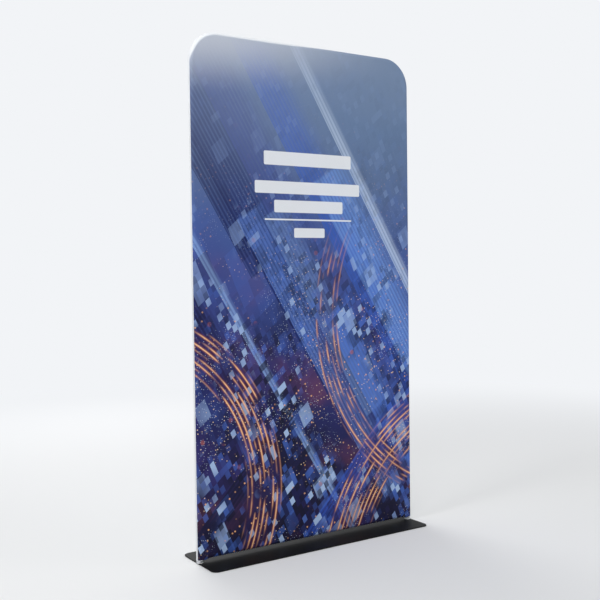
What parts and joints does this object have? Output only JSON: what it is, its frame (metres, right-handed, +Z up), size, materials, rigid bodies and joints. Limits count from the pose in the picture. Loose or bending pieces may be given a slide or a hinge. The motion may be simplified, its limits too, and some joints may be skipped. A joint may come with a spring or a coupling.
{
  "type": "fabric display wall",
  "caption": "Free-standing flat display wall: a stretch-fabric cover over a round-tube frame with rounded top corners, on a long black steel base plate.",
  "frame": {"origin": "on the floor, under the middle of the base plate", "axes": "+X along the wall, to the right seen from the printed front; +Y from the printed front to the white back; +Z up"},
  "size_m": [1.2, 0.3, 2.3],
  "materials": {
    "plate_black": "semi-gloss black powder coat",
    "rubber": "matt",
    "zinc_steel": "zinc plated",
    "tube_aluminium": "satin anodised",
    "rivet_aluminium": "plain",
    "nylon": "moulded, satin",
    "printed_fabric": "dye-printed stretch knit",
    "white_fabric": "white stretch knit",
    "zip_coil": "nylon coil",
    "zip_tape": "woven tape",
    "zip_metal": "nickel plated"
  },
  "bodies": {
    "base": {"base_plate": "plate_black", "rubber_pads": "rubber", "post_left": "plate_black", "post_right": "plate_black", "post_screws": "zinc_steel"},
    "frame": {"foot_bush_left": "nylon", "upright_lower_left": "tube_aluminium", "upright_upper_left": "tube_aluminium", "corner_tube_left": "tube_aluminium", "foot_bush_right": "nylon", "upright_lower_right": "tube_aluminium", "upright_upper_right": "tube_aluminium", "corner_tube_right": "tube_aluminium", "top_rail": "tube_aluminium", "middle_rail": "tube_aluminium", "bottom_rail": "tube_aluminium", "ferrule_middle_left": "tube_aluminium", "ferrule_middle_right": "tube_aluminium", "ferrule_shoulder_left": "tube_aluminium", "ferrule_shoulder_right": "tube_aluminium", "ferrule_top_left": "tube_aluminium", "ferrule_top_right": "tube_aluminium", "ferrule_rivets": "rivet_aluminium", "rail_stub_middle_left": "tube_aluminium", "rail_stub_middle_right": "tube_aluminium", "rail_stub_bottom_left": "tube_aluminium", "rail_stub_bottom_right": "tube_aluminium", "stub_screws": "zinc_steel", "button_springs": "zinc_steel", "front_panel": "printed_fabric", "back_panel": "white_fabric", "lower_strip": "white_fabric", "zip_coil_upper": "zip_coil", "zip_coil_lower": "zip_coil", "zip_tape_upper": "zip_tape", "zip_tape_lower": "zip_tape", "zip_stops": "zip_metal"},
    "zip_slider": {"zip_slider": "zip_metal"},
    "zip_pull": {"zip_pull": "zip_metal"},
    "snap_button_middle_left": {"snap_button_middle_left": "zinc_steel"},
    "snap_button_middle_right": {"snap_button_middle_right": "zinc_steel"},
    "snap_button_shoulder_left": {"snap_button_shoulder_left": "zinc_steel"},
    "snap_button_shoulder_right": {"snap_button_shoulder_right": "zinc_steel"},
    "snap_button_top_left": {"snap_button_top_left": "zinc_steel"},
    "snap_button_top_right": {"snap_button_top_right": "zinc_steel"},
    "snap_button_middle_rail_left": {"snap_button_middle_rail_left": "zinc_steel"},
    "snap_button_middle_rail_right": {"snap_button_middle_rail_right": "zinc_steel"},
    "snap_button_bottom_rail_left": {"snap_button_bottom_rail_left": "zinc_steel"},
    "snap_button_bottom_rail_right": {"snap_button_bottom_rail_right": "zinc_steel"}
  },
  "joints": [
    {"name": "frame_lift", "type": "slide", "parent": "base", "child": "frame", "axis": [0, 0, 1], "range_m": [0, 0.1]},
    {"name": "zip_slide", "type": "slide", "parent": "frame", "child": "zip_slider", "axis": [-1, 0, 0], "range_m": [0, 1.0924]},
    {"name": "zip_pull_swing", "type": "hinge", "parent": "zip_slider", "child": "zip_pull", "pos_m": [0.5462, 0.0196, 0.0618], "axis": [0, 0, 1], "range_deg": [0, 180]},
    {"name": "press_middle_left", "type": "slide", "parent": "frame", "child": "snap_button_middle_left", "axis": [-1, 0, 0], "range_m": [0, 0.004], "stiffness_N_per_m": 2000, "deforming": ["button_springs"]},
    {"name": "press_middle_right", "type": "slide", "parent": "frame", "child": "snap_button_middle_right", "axis": [1, 0, 0], "range_m": [0, 0.004], "stiffness_N_per_m": 2000, "deforming": ["button_springs"]},
    {"name": "press_shoulder_left", "type": "slide", "parent": "frame", "child": "snap_button_shoulder_left", "axis": [-1, 0, 0], "range_m": [0, 0.004], "stiffness_N_per_m": 2000, "deforming": ["button_springs"]},
    {"name": "press_shoulder_right", "type": "slide", "parent": "frame", "child": "snap_button_shoulder_right", "axis": [1, 0, 0], "range_m": [0, 0.004], "stiffness_N_per_m": 2000, "deforming": ["button_springs"]},
    {"name": "press_top_left", "type": "slide", "parent": "frame", "child": "snap_button_top_left", "axis": [0, 0, 1], "range_m": [0, 0.004], "stiffness_N_per_m": 2000, "deforming": ["button_springs"]},
    {"name": "press_top_right", "type": "slide", "parent": "frame", "child": "snap_button_top_right", "axis": [0, 0, 1], "range_m": [0, 0.004], "stiffness_N_per_m": 2000, "deforming": ["button_springs"]},
    {"name": "press_middle_rail_left", "type": "slide", "parent": "frame", "child": "snap_button_middle_rail_left", "axis": [0, 0, 1], "range_m": [0, 0.004], "stiffness_N_per_m": 2000, "deforming": ["button_springs"]},
    {"name": "press_middle_rail_right", "type": "slide", "parent": "frame", "child": "snap_button_middle_rail_right", "axis": [0, 0, 1], "range_m": [0, 0.004], "stiffness_N_per_m": 2000, "deforming": ["button_springs"]},
    {"name": "press_bottom_rail_left", "type": "slide", "parent": "frame", "child": "snap_button_bottom_rail_left", "axis": [0, 0, -1], "range_m": [0, 0.004], "stiffness_N_per_m": 2000, "deforming": ["button_springs"]},
    {"name": "press_bottom_rail_right", "type": "slide", "parent": "frame", "child": "snap_button_bottom_rail_right", "axis": [0, 0, -1], "range_m": [0, 0.004], "stiffness_N_per_m": 2000, "deforming": ["button_springs"]}
  ]
}
